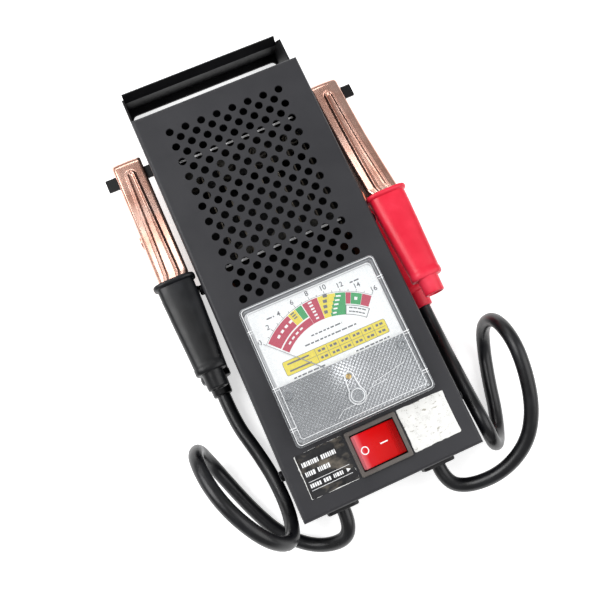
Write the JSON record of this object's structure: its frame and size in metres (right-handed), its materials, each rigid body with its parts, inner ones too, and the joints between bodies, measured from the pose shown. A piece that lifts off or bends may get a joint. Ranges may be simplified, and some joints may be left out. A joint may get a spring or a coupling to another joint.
{
  "type": "battery tester",
  "caption": "Hand-held battery load tester: perforated sheet-metal case with a handle, square panel meter, rocker switch and two spring-clamp leads stored on side ears.",
  "frame": {"origin": "under the middle of the tester without its clamp leads, on the surface that its back plate lies on", "axes": "+X across the width to the right seen from the front, +Y along the length towards the carrying handle, +Z out of the front panel"},
  "size_m": [0.1936, 0.3113, 0.0657],
  "materials": {
    "case_paint": "dark grey powder coat, satin",
    "black_screw": "black oxide",
    "clear_plastic": "clear moulded acrylic, polished",
    "adjuster_plastic": "clear moulded acrylic",
    "meter_plastic": "light grey moulded plastic",
    "dial_card": "white printed card",
    "textured_foil": "silver foil with a fine diamond texture",
    "bright_steel": "zinc-plated steel",
    "pointer_black": "black lacquer",
    "switch_plastic": "warm grey moulded nylon",
    "rocker_red": "translucent red polycarbonate",
    "brass_part": "plain brass",
    "copper_strap": "bare copper strap, lightly tarnished",
    "zinc_bar": "zinc-plated sheet steel",
    "ceramic": "unglazed steatite ceramic",
    "ribbon_alloy": "heat-darkened resistance alloy",
    "label_dark": "black film label, worn",
    "label_foil": "silver foil label, worn",
    "grommet_rubber": "black moulded rubber",
    "lead_rubber": "black flexible cable jacket, soft gloss",
    "copper_plate": "pressed steel, bright copper plating",
    "spring_wire": "spring steel wire",
    "grip_black": "black soft vinyl boot",
    "grip_red": "red soft vinyl boot"
  },
  "bodies": {
    "case": {"base_plate": "case_paint", "coil_bar_lower": "zinc_bar", "coil_bar_upper": "zinc_bar", "coil_bolts": "bright_steel", "coil_insulators": "ceramic", "cover_screws": "black_screw", "front_cover": "case_paint", "grommet_left": "grommet_rubber", "grommet_right": "grommet_rubber", "label_left": "label_dark", "label_right": "label_foil", "lead_black": "lead_rubber", "lead_lugs": "copper_strap", "lead_red": "lead_rubber", "load_ribbon": "ribbon_alloy", "load_strap_left": "copper_strap", "load_strap_right": "copper_strap", "lower_grip_black": "grip_black", "lower_grip_red": "grip_red", "lower_jaw_black": "copper_plate", "lower_jaw_red": "copper_plate", "lug_bolts": "brass_part", "lug_nuts": "brass_part", "meter_base": "meter_plastic", "meter_cover": "clear_plastic", "meter_dial": "dial_card", "meter_mask": "textured_foil", "meter_movement": "bright_steel", "meter_nuts": "bright_steel", "meter_studs": "bright_steel", "rivet_black": "copper_plate", "rivet_red": "copper_plate", "side_plate_left": "case_paint", "side_plate_right": "case_paint", "spring_black": "spring_wire", "spring_red": "spring_wire", "switch_blades": "brass_part", "switch_housing": "switch_plastic", "switch_strap": "copper_strap"},
    "rocker": {"rocker": "rocker_red"},
    "pointer": {"meter_pointer": "pointer_black"},
    "zero_adjuster": {"zero_screw": "adjuster_plastic"},
    "black_lever": {"upper_jaw_black": "copper_plate", "upper_grip_black": "grip_black"},
    "red_lever": {"upper_jaw_red": "copper_plate", "upper_grip_red": "grip_red"}
  },
  "joints": [
    {"name": "rocker_tilt", "type": "hinge", "parent": "case", "child": "rocker", "pos_m": [0, -0.11975, 0.0498], "axis": [0, 1, 0], "range_deg": [-19, 0]},
    {"name": "pointer_swing", "type": "hinge", "parent": "case", "child": "pointer", "pos_m": [0, -0.08015, 0.0553], "axis": [0, 0, 1], "range_deg": [-86, 0]},
    {"name": "zero_turn", "type": "hinge", "parent": "case", "child": "zero_adjuster", "pos_m": [0, -0.09165, 0.0595], "axis": [0, 0, 1], "range_deg": [-45, 45]},
    {"name": "black_clamp_squeeze", "type": "hinge", "parent": "case", "child": "black_lever", "pos_m": [-0.067, 0.04515, 0.0265], "axis": [1, 0, 0], "range_deg": [0, 12.5], "stiffness_Nm_per_rad": 0.8, "springref_deg": -20.05},
    {"name": "red_clamp_squeeze", "type": "hinge", "parent": "case", "child": "red_lever", "pos_m": [0.067, 0.04515, 0.0265], "axis": [1, 0, 0], "range_deg": [0, 12.5], "stiffness_Nm_per_rad": 0.8, "springref_deg": -20.05}
  ]
}
